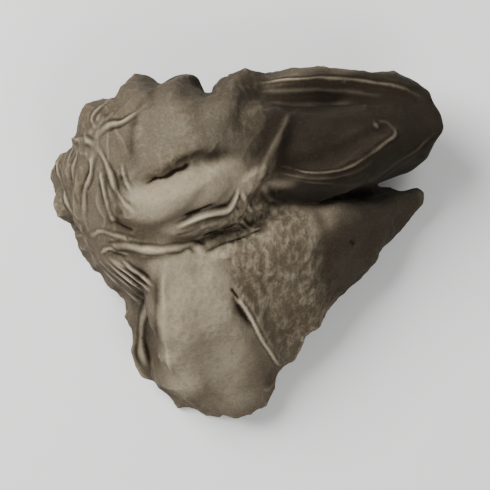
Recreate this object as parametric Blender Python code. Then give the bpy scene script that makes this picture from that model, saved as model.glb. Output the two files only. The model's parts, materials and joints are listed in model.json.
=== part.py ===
"""A dried wood ear mushroom, lying on its rim with its felted outer side up.

The fruit body is one thin, leathery sheet that grew out from a small foot, like an ear or a cup.
Drying pulled it into a crumpled cap: a smooth crown, a roll below it, an ear-shaped lobe, and an
apron that falls away from a deep fold. The sheet is lofted over ribs that spread from the hub where
its main folds meet, its walls are fluted, its rim is curled, and its narrower folds are pressed in
along lines of their own, on both faces.

Sizes are in millimetres until the mesh is made. +X runs along the longest side, +Z is up.
"""

from dataclasses import dataclass

import bmesh
import bpy
import numpy as np
from mathutils import Vector, noise

MM = 0.001
CELLS = 92  # squares along each side of the sheet's grid

# The main folds of the sheet meet at the hub.
HUB = (-5.0, -0.3)
HUB_HEIGHT = 7.3

# The ear-shaped lobe swings towards the apron, in degrees, most of all along one direction. The
# swing grows between two shares of the way from the hub to the rim.
EAR_SWING = -3.5
EAR_AZIMUTH = 27
EAR_SPREAD = 9
EAR_SWING_FROM = 0.35
EAR_SWING_FULL = 0.7

# The flesh is thick at the hub and thin at the rim.
THICK_AT_HUB = 1.5
THICK_AT_RIM = 0.75
THINNING = 1.5  # above 1, the flesh thins out sooner

# A fold is a soft brush drawn along its line in short strokes, and fades out at both ends.
STROKES = 16  # for each point of the line
FOLD_FADE = 0.25  # the share of the line over which it fades
GROOVE_AT = 2  # from the fold's middle, in widths

# The share of a fold's height that reaches the inner face, where it is also wider.
FOLD_INSIDE = 0.6
FOLD_WIDER_INSIDE = 1.6

# Soft unevenness, as (distance between bumps, size), and the seed of its pattern.
SHEET_RIPPLE = (5.0, 0.4)
RIM_RIPPLE = (2.1, 0.5)
RIM_RIPPLE_POWER = 4  # the higher, the closer it stays to the rim
RIPPLE_SEED = 1

# The foot is a short stub on the left wall, cut off flat.
FOOT = (-10.6, 4.4, 4.9)
FOOT_AXIS = (-0.86, 0.5, -0.05)
FOOT_RADIUS = 0.95
FOOT_RISE = 1.2
FOOT_CUT = 0.75
FOOT_SHOULDER = 4  # the higher, the steeper its side
FOOT_CUT_REACH = 1.25  # how far from its axis the cut reaches, in radii
FOOT_FACING = 0.5  # how squarely the wall must face along the foot's axis to rise in full

# What lies below the surface that the mushroom rests on.
GROUND_WIDTH = 60.0
GROUND_DEPTH = 5.0

# The surface is rebuilt in even cells, softened, and thinned out to a light mesh.
SKIN_CELL = 0.2
SKIN_SMOOTHING = 3
TRIANGLES = 9400

FLESH_COLOUR = (0.27, 0.235, 0.19, 1.0)
FLESH_ROUGHNESS = 0.9


@dataclass(frozen=True)
class Rib:
    """The sheet's profile in one direction from the hub.

    path holds pairs of (distance from the hub, height above the surface below), at even steps
    along the sheet from near the hub to the rim.
    """

    name: str
    azimuth: float
    path: tuple


@dataclass(frozen=True)
class Flute:
    """A furrow (negative depth) or a swelling that runs down the wall of the sheet to its rim."""

    azimuth: float
    spread: float
    depth: float


@dataclass(frozen=True)
class Curl:
    """A stretch of the rim that turns outwards and up."""

    azimuth: float
    spread: float
    out: float
    up: float


@dataclass(frozen=True)
class Fold:
    """A ridge (or, below zero, a crease) along a line seen from above.

    left and right are the depths of the grooves beside it.
    """

    name: str
    line: tuple
    width: float
    lift: float
    left: float = 0.0
    right: float = 0.0


RIBS = (
    Rib("apron_left", -82, ((1.5, 7.2), (3.5, 7.2), (5.5, 6.4), (7.5, 4.8), (9.2, 2.4), (9.9, -0.3))),
    Rib("apron_middle", -62, ((2.0, 7.3), (4.0, 7.2), (6.2, 6.0), (8.2, 4.2), (9.9, 2.2), (10.7, 0.7))),
    Rib("apron_keel", -42, ((2.0, 7.2), (4.0, 7.3), (6.0, 6.6), (8.0, 5.0), (9.7, 2.8), (9.8, -0.3))),
    Rib("apron_face", -22, ((2.0, 6.9), (4.2, 6.9), (6.4, 6.2), (8.5, 4.8), (10.2, 2.8), (10.5, 0.8))),
    Rib("apron_side", -5, ((2.0, 6.7), (4.5, 6.9), (7.1, 6.5), (9.6, 5.2), (11.8, 3.2), (12.3, 1.3))),
    Rib("apron_edge", 6, ((2.0, 6.3), (4.5, 5.9), (7.4, 6.6), (10.6, 5.6), (13.3, 3.6), (14.4, 1.7))),
    Rib("apron_tip", 13.3, ((2.0, 6.1), (4.3, 4.9), (7.2, 5.4), (10.6, 5.7), (13.8, 4.0), (16.2, 2.0))),
    Rib("gap_low", 17, ((2.0, 6.3), (4.2, 5.3), (6.8, 4.2), (9.6, 3.3), (12.0, 2.6), (13.6, 1.7))),
    Rib("gap_high", 20.5, ((2.0, 6.4), (4.3, 5.4), (6.9, 4.1), (9.4, 3.2), (11.8, 3.0), (14.0, 2.5))),
    Rib("ear_lip", 25.5, ((2.0, 6.7), (4.4, 5.9), (7.6, 6.2), (10.8, 7.7), (14.4, 7.3), (17.8, 5.6))),
    Rib("ear_bowl", 31.5, ((2.0, 7.2), (4.5, 6.3), (7.6, 6.8), (11.2, 7.8), (15.0, 7.2), (18.2, 5.0))),
    Rib("ear_middle", 38, ((2.0, 7.8), (4.5, 8.2), (7.6, 8.0), (11.2, 7.8), (14.9, 6.6), (17.0, 4.0))),
    Rib("ear_top", 45, ((2.0, 8.0), (4.5, 8.9), (8.0, 8.2), (11.0, 7.8), (13.8, 5.8), (14.4, 2.6))),
    Rib("shallow", 57, ((2.0, 8.0), (4.2, 9.0), (6.8, 8.9), (9.6, 7.8), (11.6, 4.6), (11.2, -1.0))),
    Rib("crown", 75, ((1.8, 7.9), (4.0, 9.4), (6.4, 9.9), (8.4, 8.6), (9.6, 5.6), (8.7, 1.8))),
    Rib("crown_left", 100, ((1.6, 7.8), (3.6, 9.4), (6.0, 9.7), (8.2, 8.2), (9.7, 4.6), (8.7, -0.3))),
    Rib("shoulder", 125, ((1.4, 7.6), (3.2, 8.8), (5.4, 8.8), (7.4, 7.2), (8.5, 4.4), (8.0, 1.3))),
    Rib("cheek", 148, ((1.2, 7.4), (2.8, 8.2), (4.6, 8.0), (6.2, 6.2), (6.8, 3.2), (6.0, -0.4))),
    Rib("side", 175, ((1.0, 7.2), (2.1, 7.4), (3.2, 6.8), (4.2, 5.0), (4.5, 3.0), (4.1, 1.1))),
    Rib("pleats", 205, ((0.9, 7.0), (1.8, 6.9), (2.6, 6.0), (3.2, 4.2), (3.5, 2.2), (3.3, -0.2))),
    Rib("pleats_low", 236, ((0.9, 7.0), (1.7, 6.6), (2.4, 5.5), (2.9, 4.0), (3.2, 2.7), (3.5, 1.6))),
    Rib("tuck", 260, ((1.0, 6.8), (2.2, 6.0), (3.4, 4.8), (4.6, 3.6), (5.9, 2.6), (7.0, 1.6))),
)

# Flutes begin part of the way from the hub to the rim, and grow to their full depth.
FLUTES_FROM = 0.48
FLUTES_FULL = 0.85
FLUTE_CREST = 1.4  # below 2, the crests are sharper than a bell curve
FLUTES = (
    Flute(-70, 5, -0.4),
    Flute(-55, 5, 0.4),
    Flute(-30, 5, -0.25),
    Flute(-12, 5, -0.3),
    Flute(40, 4, -0.3),
    Flute(50, 5, 0.4),
    Flute(57, 2.5, -0.35),
    Flute(64, 3, 0.3),
    Flute(72, 4, -0.6),
    Flute(83, 4, 0.4),
    Flute(92, 3, -0.45),
    Flute(98, 3, 0.35),
    Flute(106, 3, -0.5),
    Flute(116, 4, 0.4),
    Flute(127, 4, -0.6),
    Flute(137, 4, 0.4),
    Flute(147, 3, -0.4),
    Flute(154, 4, 0.4),
    Flute(165, 5, -0.7),
    Flute(181, 9, 0.3),
    Flute(198, 7, -0.4),
    Flute(212, 7, 0.3),
)

# Curls begin near the rim, and grow towards it.
CURLS_FROM = 0.7
CURLS = (
    Curl(-62, 8, 0.5, 0.9),
    Curl(-24, 8, 0.2, 0.9),
    Curl(-8, 5, 0.0, 0.8),
    Curl(56, 7, 0.8, 0.0),
    Curl(76, 7, 0.2, 0.9),
    Curl(97, 7, 0.8, 0.0),
    Curl(121, 8, 0.2, 0.9),
    Curl(147, 8, 0.9, 0.0),
    Curl(174, 8, 0.0, 0.9),
    Curl(203, 8, 0.9, 0.0),
    Curl(229, 8, 0.0, 0.8),
    Curl(252, 8, 0.3, 0.5),
)

FOLDS = (
    # The crown and the roll below it.
    Fold(
        "crown_crease",
        ((-6.3, 3.1), (-5.5, 3.5), (-4.5, 3.8), (-3.3, 4.5), (-1.9, 5.0), (-0.6, 5.3)),
        width=0.3,
        lift=-0.7,
    ),
    Fold("crown_brow", ((-5.0, 4.6), (-3.6, 5.2), (-1.8, 5.9)), width=0.6, lift=0.35),
    Fold("crown_furrow", ((0.3, 9.6), (-0.2, 7.6), (0.3, 5.8)), width=0.6, lift=-0.25),
    Fold("crown_dimple", ((-4.6, 8.8), (-4.9, 7.4), (-4.4, 6.2)), width=0.7, lift=-0.15),
    Fold("roll", ((-6.6, 2.1), (-4.7, 2.6), (-2.8, 3.5), (-0.6, 4.1)), width=0.9, lift=0.7),
    Fold(
        "cord",
        ((-5.2, 0.7), (-3.7, 1.1), (-2.4, 1.7), (-1.2, 2.1), (-0.4, 3.0), (0.0, 3.8)),
        width=0.28,
        lift=0.3,
        left=0.25,
        right=0.3,
    ),
    Fold(
        "keel",
        ((-0.5, 3.1), (0.5, 4.1), (1.4, 4.7), (1.9, 6.1), (2.5, 7.8)),
        width=0.32,
        lift=0.35,
        left=0.15,
        right=0.15,
    ),
    Fold(
        "lower_cord",
        ((-8.2, -0.3), (-7.2, 0.4), (-5.6, -0.1), (-3.8, 0.1), (-2.8, 0.3), (-2.2, -0.4)),
        width=0.28,
        lift=0.3,
        left=0.2,
        right=0.25,
    ),
    # The ear-shaped lobe.
    Fold(
        "ear_lip",
        ((1.3, 4.6), (2.5, 4.2), (4.2, 4.1), (5.9, 4.7), (7.3, 5.5), (8.6, 6.3), (8.4, 7.3)),
        width=0.3,
        lift=0.3,
        left=0.3,
        right=0.1,
    ),
    Fold("ear_oval", ((3.2, 6.1), (4.8, 6.3), (6.8, 6.8)), width=1.2, lift=0.5),
    Fold(
        "ear_back",
        ((0.2, 8.8), (1.7, 8.3), (3.8, 8.1), (6.4, 8.5), (9.0, 8.2)),
        width=0.6,
        lift=-0.9,
    ),
    Fold(
        "far_rim",
        ((-3.3, 9.7), (-1.0, 9.4), (1.7, 9.5), (6.0, 9.6), (9.2, 9.1), (10.8, 8.2)),
        width=0.5,
        lift=0.4,
    ),
    # The apron, and the brow that it falls away from.
    Fold(
        "apron_ridge",
        ((-0.7, -2.2), (-0.4, -2.9), (0.35, -4.1), (1.1, -5.6), (2.3, -8.2)),
        width=0.26,
        lift=0.3,
        left=0.1,
        right=0.3,
    ),
    Fold(
        "apron_fold",
        ((-4.8, -0.9), (-5.0, -2.6), (-4.7, -4.6), (-4.6, -8.8)),
        width=0.32,
        lift=0.25,
        right=0.4,
    ),
    Fold(
        "apron_pleat",
        ((-5.7, -3.4), (-6.2, -5.6), (-6.1, -8.6)),
        width=0.32,
        lift=0.2,
        left=0.2,
    ),
    Fold(
        "brow_low",
        ((-4.7, -0.8), (-3.2, -0.6), (-2.2, -0.9), (-0.8, -0.1), (0.6, 0.1)),
        width=0.5,
        lift=0.2,
    ),
    Fold(
        "brow",
        ((0.2, 0.0), (1.7, 1.2), (2.8, 2.4), (4.0, 2.8), (6.0, 2.5), (8.8, 3.2)),
        width=0.5,
        lift=0.25,
    ),
)

# Gathers run from the top left of the crown down to the left end of the roll.
GATHERS = (
    ((-5.6, 8.2), (-7.2, 6.9), (-8.3, 6.4), (-8.6, 5.4)),
    ((-8.6, 5.8), (-7.8, 3.9), (-7.0, 2.4), (-5.9, 1.6)),
    ((-8.7, 5.6), (-8.4, 4.0), (-7.9, 2.4), (-7.1, 1.2)),
    ((-8.8, 5.6), (-9.1, 3.7), (-9.2, 2.2), (-8.8, 0.8)),
    ((-10.6, 7.0), (-11.1, 4.8), (-10.5, 2.6), (-9.6, 0.8)),
)
GATHER = {"width": 0.3, "lift": 0.3, "right": 0.2}

# Pleats run side by side below the gathers.
PLEAT_OUTER = ((-9.2, -0.8), (-8.8, -1.1), (-7.2, -2.8), (-6.0, -3.6))
PLEAT_INNER = ((-7.8, -0.2), (-7.2, -0.6), (-5.8, -1.7), (-5.0, -2.3))
PLEATS = 4
PLEAT = {"width": 0.24, "lift": 0.3, "right": 0.15}


def between(first, last, count):
    """Lines spaced evenly from the first line to the last."""
    a, b = np.array(first), np.array(last)
    return [a + (b - a) * k / (count - 1) for k in range(count)]


def repeated_folds():
    """The gathers and pleats, which share one width and height each."""
    gathers = tuple(Fold("gather", line, **GATHER) for line in GATHERS)
    pleats = tuple(Fold("pleat", line, **PLEAT) for line in between(PLEAT_OUTER, PLEAT_INNER, PLEATS))
    return gathers + pleats


def hermite(knots, values, at):
    """Smooth curve through values at the knots, read at the places in at.

    The slope at each knot is that of the line between its two neighbours.
    """
    slopes = np.gradient(values, knots, axis=0)
    slopes[1:-1] = (values[2:] - values[:-2]) / (knots[2:] - knots[:-2])[:, None]
    i = np.clip(np.searchsorted(knots, at, side="right") - 1, 0, len(knots) - 2)
    span = (knots[i + 1] - knots[i])[:, None]
    t = (at - knots[i])[:, None] / span
    near = (1 + 2 * t) * (1 - t) ** 2 * values[i] + t * (1 - t) ** 2 * span * slopes[i]
    far = t**2 * (3 - 2 * t) * values[i + 1] - t**2 * (1 - t) * span * slopes[i + 1]
    return near + far


def ease(x):
    """0 below 0, 1 above 1, and a smooth rise between."""
    x = np.clip(x, 0, 1)
    return x * x * (3 - 2 * x)


def on_the_sheet(square):
    """The direction in degrees and the share of the way to the rim of points of a square grid.

    The square is drawn onto a round sheet, so that its cells stay about the same size.
    """
    a, b = square.T
    u, v = a * np.sqrt(1 - b**2 / 2), b * np.sqrt(1 - a**2 / 2)
    return np.degrees(np.arctan2(v, u)), np.hypot(u, v)


def ribs_surface(azimuth, share):
    """Points of the smooth sheet that passes through every rib."""
    order = sorted(RIBS, key=lambda rib: rib.azimuth)
    paths = np.array([((0.0, HUB_HEIGHT),) + rib.path for rib in order])
    turns = np.array([rib.azimuth for rib in order], float)
    # The ribs are repeated on both sides, so that the curve round the hub closes smoothly.
    turns = np.concatenate([turns - 360, turns, turns + 360])
    paths = np.concatenate([paths] * 3)
    profiles = hermite(turns, paths.reshape(len(turns), -1), azimuth)
    profiles = profiles.reshape(len(azimuth), -1, 2)
    stations = np.linspace(0, 1, profiles.shape[1])
    places = [hermite(stations, profile, np.array([t]))[0] for profile, t in zip(profiles, share)]
    distance, height = np.array(places).T
    swing = EAR_SWING * np.exp(-(((azimuth - EAR_AZIMUTH) / EAR_SPREAD) ** 2))
    swing *= ease((share - EAR_SWING_FROM) / (EAR_SWING_FULL - EAR_SWING_FROM))
    turn = np.radians(azimuth + swing)
    x = HUB[0] + distance * np.cos(turn)
    y = HUB[1] + distance * np.sin(turn)
    return np.stack([x, y, height], axis=1)


def flute_depth(azimuth, share):
    """How far the flutes move each point out of the wall."""
    depth = np.zeros(len(azimuth))
    for flute in FLUTES:
        turn = (azimuth - flute.azimuth + 180) % 360 - 180
        depth += flute.depth * np.exp(-(np.abs(turn / flute.spread) ** FLUTE_CREST))
    return depth * ease((share - FLUTES_FROM) / (FLUTES_FULL - FLUTES_FROM))


def curl_move(azimuth, share):
    """How the curls move each point, as a vector."""
    out, up = np.zeros(len(azimuth)), np.zeros(len(azimuth))
    for curl in CURLS:
        turn = (azimuth - curl.azimuth + 180) % 360 - 180
        near = np.exp(-((turn / curl.spread) ** 2))
        out += curl.out * near
        up += curl.up * near
    turn = np.radians(azimuth)
    grown = ease((share - CURLS_FROM) / (1 - CURLS_FROM))
    return np.stack([out * np.cos(turn), out * np.sin(turn), up], axis=1) * grown[:, None]


def fold_height(fold, points, wider=1.0):
    """How far the fold lifts or lowers each point, as a soft brush drawn along its line."""
    line = np.array(fold.line)
    knots = np.arange(len(line), dtype=float)
    brush = hermite(knots, line, np.linspace(0, knots[-1], STROKES * (len(line) - 1) + 1))
    width = fold.width * wider
    middle = (brush[1:] + brush[:-1]) / 2
    stroke = np.diff(brush, axis=0)
    length = np.hypot(*stroke.T)
    ahead = stroke / length[:, None]
    away = points[:, None, :2] - middle
    along = (away * ahead).sum(2) / width
    across = (away[..., 1] * ahead[:, 0] - away[..., 0] * ahead[:, 1]) / width
    done = (np.arange(len(length)) + 0.5) / len(length)
    press = ease(done / FOLD_FADE) * ease((1 - done) / FOLD_FADE) * length / (width * np.sqrt(np.pi))
    shape = fold.lift * np.exp(-(across**2))
    shape -= fold.left * np.exp(-((across - GROOVE_AT) ** 2))
    shape -= fold.right * np.exp(-((across + GROOVE_AT) ** 2))
    return (shape * np.exp(-(along**2)) * press).sum(1)


def ripple(points, unevenness):
    """A soft unevenness, the same in every run, as a vector for each point."""
    spacing, size = unevenness
    return size * np.array([noise.noise_vector(Vector(p) / spacing) for p in points])


def move(verts, points):
    """Put each vertex at its point."""
    for vert, point in zip(verts, points):
        vert.co = point


def normals(bm, verts, points):
    """The direction out of the sheet at each vertex, once the vertices are at their points."""
    move(verts, points)
    bm.normal_update()
    return np.array([vert.normal for vert in verts])


def with_foot(outer, outward):
    """The outer face with the stub of the foot raised on it and cut off flat."""
    axis = np.array(FOOT_AXIS) / np.linalg.norm(FOOT_AXIS)
    away = outer - np.array(FOOT)
    height = away @ axis
    aside = np.linalg.norm(away - height[:, None] * axis, axis=1)
    facing = ease(outward @ axis / FOOT_FACING) * (height > -FOOT_RADIUS)
    lift = FOOT_RISE * facing * np.exp(-((aside / FOOT_RADIUS) ** FOOT_SHOULDER))
    over = np.maximum(height + lift - FOOT_CUT, 0) * (aside < FOOT_CUT_REACH * FOOT_RADIUS)
    return outer + (lift - over)[:, None] * axis


def faces_of_the_sheet(bm, verts):
    """Where the outer and the inner face of the sheet lie, one point each for every vertex."""
    azimuth, share = on_the_sheet(np.array([vert.co.xy for vert in verts]))
    middle = ribs_surface(azimuth, share)
    middle += ripple(middle, SHEET_RIPPLE)
    middle += ripple(middle, RIM_RIPPLE) * share[:, None] ** RIM_RIPPLE_POWER
    middle += normals(bm, verts, middle) * flute_depth(azimuth, share)[:, None]
    middle += curl_move(azimuth, share)
    outward = normals(bm, verts, middle)
    thick = THICK_AT_RIM + (THICK_AT_HUB - THICK_AT_RIM) * (1 - ease(share)) ** THINNING
    above = sum(fold_height(fold, middle) for fold in FOLDS + repeated_folds())
    below = FOLD_INSIDE * sum(fold_height(fold, middle, FOLD_WIDER_INSIDE) for fold in FOLDS)
    outer = middle + outward * (above + thick / 2)[:, None]
    inner = middle + outward * (np.minimum(below, above) - thick / 2)[:, None]
    return with_foot(outer, outward), inner


def sheet_mesh():
    """The sheet as a closed mesh: an outer and an inner face, joined round the rim."""
    bm = bmesh.new()
    number = bm.verts.layers.int.new("number")
    bmesh.ops.create_grid(bm, x_segments=CELLS, y_segments=CELLS, size=1)
    lower = list(bm.verts)
    for k, vert in enumerate(lower):
        vert[number] = k
    outer, inner = faces_of_the_sheet(bm, lower)
    raised = bmesh.ops.extrude_face_region(bm, geom=bm.faces[:], use_keep_orig=True)["geom"]
    upper = [item for item in raised if isinstance(item, bmesh.types.BMVert)]
    move(upper, [outer[vert[number]] for vert in upper])
    move(lower, inner)
    bmesh.ops.recalc_face_normals(bm, faces=bm.faces[:])
    bmesh.ops.scale(bm, vec=(MM, MM, MM), verts=bm.verts[:])
    mesh = bpy.data.meshes.new("wood_ear")
    bm.to_mesh(mesh)
    bm.free()
    return mesh


def ground():
    """What lies below the surface that the mushroom rests on, to be cut away."""
    size = (GROUND_WIDTH * MM, GROUND_WIDTH * MM, GROUND_DEPTH * MM)
    bpy.ops.mesh.primitive_cube_add(size=1, location=(0, 0, -size[2] / 2), scale=size)
    block = bpy.context.object
    block.name = "ground"
    block.display_type = "WIRE"
    block.hide_render = True
    return block


def finish(body):
    """Even out, soften, thin out and flatten underneath, in that order."""
    skin = body.modifiers.new("skin", "REMESH")
    skin.mode = "VOXEL"
    skin.voxel_size = SKIN_CELL * MM
    soften = body.modifiers.new("soften", "SMOOTH")
    soften.iterations = SKIN_SMOOTHING
    graph = bpy.context.evaluated_depsgraph_get()
    fine = body.evaluated_get(graph).to_mesh()
    thin_out = body.modifiers.new("thin_out", "DECIMATE")
    thin_out.ratio = TRIANGLES / (2 * len(fine.polygons))
    thin_out.use_collapse_triangulate = True
    rest = body.modifiers.new("rest", "BOOLEAN")
    rest.operation = "DIFFERENCE"
    rest.object = ground()


def flesh():
    """Dried flesh: a dull taupe felt."""
    material = bpy.data.materials.new("dried_flesh")
    material.use_nodes = True
    shader = material.node_tree.nodes["Principled BSDF"]
    shader.inputs["Base Color"].default_value = FLESH_COLOUR
    shader.inputs["Roughness"].default_value = FLESH_ROUGHNESS
    return material


def clear_scene():
    """Remove what the file opened with."""
    for obj in list(bpy.data.objects):
        bpy.data.objects.remove(obj)


def main():
    """Build the mushroom in an empty scene."""
    clear_scene()
    noise.seed_set(RIPPLE_SEED)
    body = bpy.data.objects.new("wood_ear", sheet_mesh())
    bpy.context.collection.objects.link(body)
    body.data.materials.append(flesh())
    finish(body)


main()
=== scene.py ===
"""The looks of a dried wood ear mushroom: its felted skin, its fine folds and its brown inner side.

The mushroom lies on its rim with its felted outer side up, as in the photograph, and the camera
looks down on it. The skin starts as a copy of the solid, is evened out, gets its thin rim, its
folds and its wrinkles, and keeps what it knows about each point as marks that the flesh reads.

Sizes are in millimetres, +X to the right and +Y upwards as in the photograph, unless they say
otherwise. The skin is modelled a thousand times too large, so that a millimetre is one unit, and
brought to its real size at the end.
"""

import json
import logging
import math
from dataclasses import dataclass, field
from enum import Enum

import bpy
import numpy as np
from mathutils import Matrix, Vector, noise
from mathutils.bvhtree import BVHTree
from mathutils.kdtree import KDTree

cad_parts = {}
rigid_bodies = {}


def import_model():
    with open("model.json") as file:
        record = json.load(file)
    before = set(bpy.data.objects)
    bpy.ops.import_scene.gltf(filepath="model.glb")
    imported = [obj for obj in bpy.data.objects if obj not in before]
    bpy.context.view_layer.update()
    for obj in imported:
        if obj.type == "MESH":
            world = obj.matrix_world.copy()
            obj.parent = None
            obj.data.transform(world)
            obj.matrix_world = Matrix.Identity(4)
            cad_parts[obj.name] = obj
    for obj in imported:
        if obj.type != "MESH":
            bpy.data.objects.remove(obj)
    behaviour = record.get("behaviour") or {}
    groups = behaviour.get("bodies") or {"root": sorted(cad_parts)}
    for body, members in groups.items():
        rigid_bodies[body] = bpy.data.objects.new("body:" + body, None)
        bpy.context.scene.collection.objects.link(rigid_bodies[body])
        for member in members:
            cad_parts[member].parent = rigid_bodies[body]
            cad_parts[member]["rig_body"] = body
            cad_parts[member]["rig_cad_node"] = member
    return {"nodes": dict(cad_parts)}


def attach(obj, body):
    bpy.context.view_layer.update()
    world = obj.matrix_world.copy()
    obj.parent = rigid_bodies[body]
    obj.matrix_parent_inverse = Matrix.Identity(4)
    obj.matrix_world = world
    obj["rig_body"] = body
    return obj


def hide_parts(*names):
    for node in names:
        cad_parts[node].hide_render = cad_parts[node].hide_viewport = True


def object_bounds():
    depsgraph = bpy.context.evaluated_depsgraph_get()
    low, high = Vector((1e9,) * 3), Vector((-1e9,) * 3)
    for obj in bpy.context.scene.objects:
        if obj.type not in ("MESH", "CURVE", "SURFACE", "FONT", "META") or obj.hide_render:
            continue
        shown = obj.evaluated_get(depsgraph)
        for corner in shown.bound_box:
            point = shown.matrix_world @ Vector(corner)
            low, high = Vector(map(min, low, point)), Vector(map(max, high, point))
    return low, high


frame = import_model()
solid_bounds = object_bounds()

MM = 0.001
HUB = (-5.0, -0.3)  # where the main folds of the sheet meet
HUB_RING = 8.0  # how far from the hub radial wrinkles have their true spacing
HIGH_ABOVE = 50.0
SKIN_SEED = 7
WELD = 0.001  # points of the solid that are nearer than this become one
LEAST_SHARE = 0.01  # wrinkles are left out where they would be weaker than this
CURVE_STEPS = 24  # steps between two points of a fold's line
FEWEST_STEPS = 8
FOLD_REACH = 7.0  # how far from its line a fold is felt, in widths
CREST_SHARE = 0.6  # the share of a fold's height that its narrow crest has
CREST_POWER = 1.3
FOOT_WIDTH = 2.5  # how much wider its foot is
BESIDE = 2.6  # where its grooves are, in widths
PALE_FALL = 0.8  # how fast its pale crest fades sideways
END_SHARE = 0.1  # how much of it is left before it fades
UNEVEN = 0.6  # how much it swells and thins along its line
UNEVEN_RUN = 1.1  # the distance over which it does
WARP_RUN = 2.5  # the distance over which wrinkles wander, in spacings
WARP_SHIFT = 11.3  # keeps their wandering apart from their own noise
NET_EDGE = 0.5  # how wide the lines of a net are
CREST_EDGE = 0.4  # how wide crests are
CREST_MEAN = 0.35
Line = tuple[tuple[float, float], ...]
Colour = tuple[float, float, float, float]

log = logging.getLogger("wood_ear")


def ease(x: np.ndarray) -> np.ndarray:
    """Rise smoothly from 0 to 1.

    Args:
        x: Numbers of any size.

    Returns:
        0 where x is below 0, 1 where it is above 1, and a smooth rise between.
    """
    x = np.clip(x, 0, 1)
    return x * x * (3 - 2 * x)


def soft_noise(points: np.ndarray) -> np.ndarray:
    """Read a soft noise at each point, the same in every run.

    Args:
        points: One row of three numbers for each point.

    Returns:
        One number for each point, mostly between -0.5 and 0.5.
    """
    return np.array([noise.noise(Vector(p)) for p in points])


def soft_push(points: np.ndarray) -> np.ndarray:
    """Read a soft noise of directions at each point, the same in every run.

    Args:
        points: One row of three numbers for each point.

    Returns:
        One row of three numbers for each point.
    """
    return np.array([noise.noise_vector(Vector(p)) for p in points])


def unit(rows: np.ndarray) -> np.ndarray:
    """Bring each row to a length of 1."""
    return rows / np.maximum(np.linalg.norm(rows, axis=1), 1e-9)[:, None]


def turned(points: np.ndarray, degrees: float) -> tuple[np.ndarray, np.ndarray]:
    """Measure points along a direction seen from above, and across it.

    Args:
        points: One row of two or three numbers for each point.
        degrees: The direction, turned from +X.

    Returns:
        How far along and how far across each point is.
    """
    turn = math.radians(degrees)
    along = points[:, :2] @ np.array([math.cos(turn), math.sin(turn)])
    return along, points[:, :2] @ np.array([-math.sin(turn), math.cos(turn)])


def nearest(points: np.ndarray, places: np.ndarray) -> tuple[np.ndarray, np.ndarray]:
    """Find the place that is nearest to each point.

    Args:
        points: One row of three numbers for each point.
        places: One row of three numbers for each place.

    Returns:
        The number of the nearest place, and how far away it is, for each point.
    """
    found = KDTree(len(places))
    for k, place in enumerate(places):
        found.insert(place, k)
    found.balance()
    hits = [found.find(p) for p in points]
    return np.array([hit[1] for hit in hits], int), np.array([hit[2] for hit in hits])


class Side(Enum):
    """The faces of the sheet that something shows on."""

    OUTER = "outer"
    INNER = "inner"
    BOTH = "both"


class Course(Enum):
    """Which way wrinkles run."""

    STRAIGHT = "straight"
    RADIAL = "radial"


class Grain(Enum):
    """The kinds of unevenness that dried flesh shows."""

    CRESTS = "crests"
    NET = "net"
    SWELLS = "swells"


class Place(Enum):
    """The parts of the sheet that wrinkles keep to."""

    ANYWHERE = "anywhere"
    WALLS = "walls"
    RIM = "rim"


class Tint(Enum):
    """The ways in which the felt's colour varies from place to place, painted light and shade among them."""

    MOTTLED = "mottled"
    # Partly the ear's browner colour and partly painted shade.
    BROWN_AND_SHADE = "brown_and_shade"
    # Painted light: paler on lit parts and in shadowed hollows.
    PAINTED_LIGHT = "painted_light"


@dataclass(frozen=True)
class Patch:
    """A soft-edged oval part of the mushroom, seen from above.

    Args:
        centre: Its middle.
        reach: Its half length and half width.
        turn: The direction of its length, in degrees.
        fade: The share of its reach over which it fades out.
    """

    centre: tuple[float, float]
    reach: tuple[float, float]
    turn: float = 0.0
    fade: float = 0.5

    def share(self, points: np.ndarray) -> np.ndarray:
        """Say how much each point belongs to the patch.

        Args:
            points: One row of three numbers for each point.

        Returns:
            A number from 0 to 1 for each point.
        """
        along, across = turned(points[:, :2] - np.array(self.centre), self.turn)
        away = np.hypot(along / self.reach[0], across / self.reach[1])
        return ease((1 - away) / self.fade + 0.5)


@dataclass(frozen=True)
class Stroke:
    """The cross-section and the wear of a fine fold.

    Args:
        width: Half the width of its crest.
        lift: Its height, below zero for a crease.
        groove: The depth of the grooves beside it.
        pale: How pale its crest is, partly from wear and partly a painted highlight.
        shade: How much shade is painted into its grooves, or onto the floor of a crease.
    """

    width: float
    lift: float
    groove: float = 0.0
    pale: float = 0.0
    shade: float = 0.0


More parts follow.
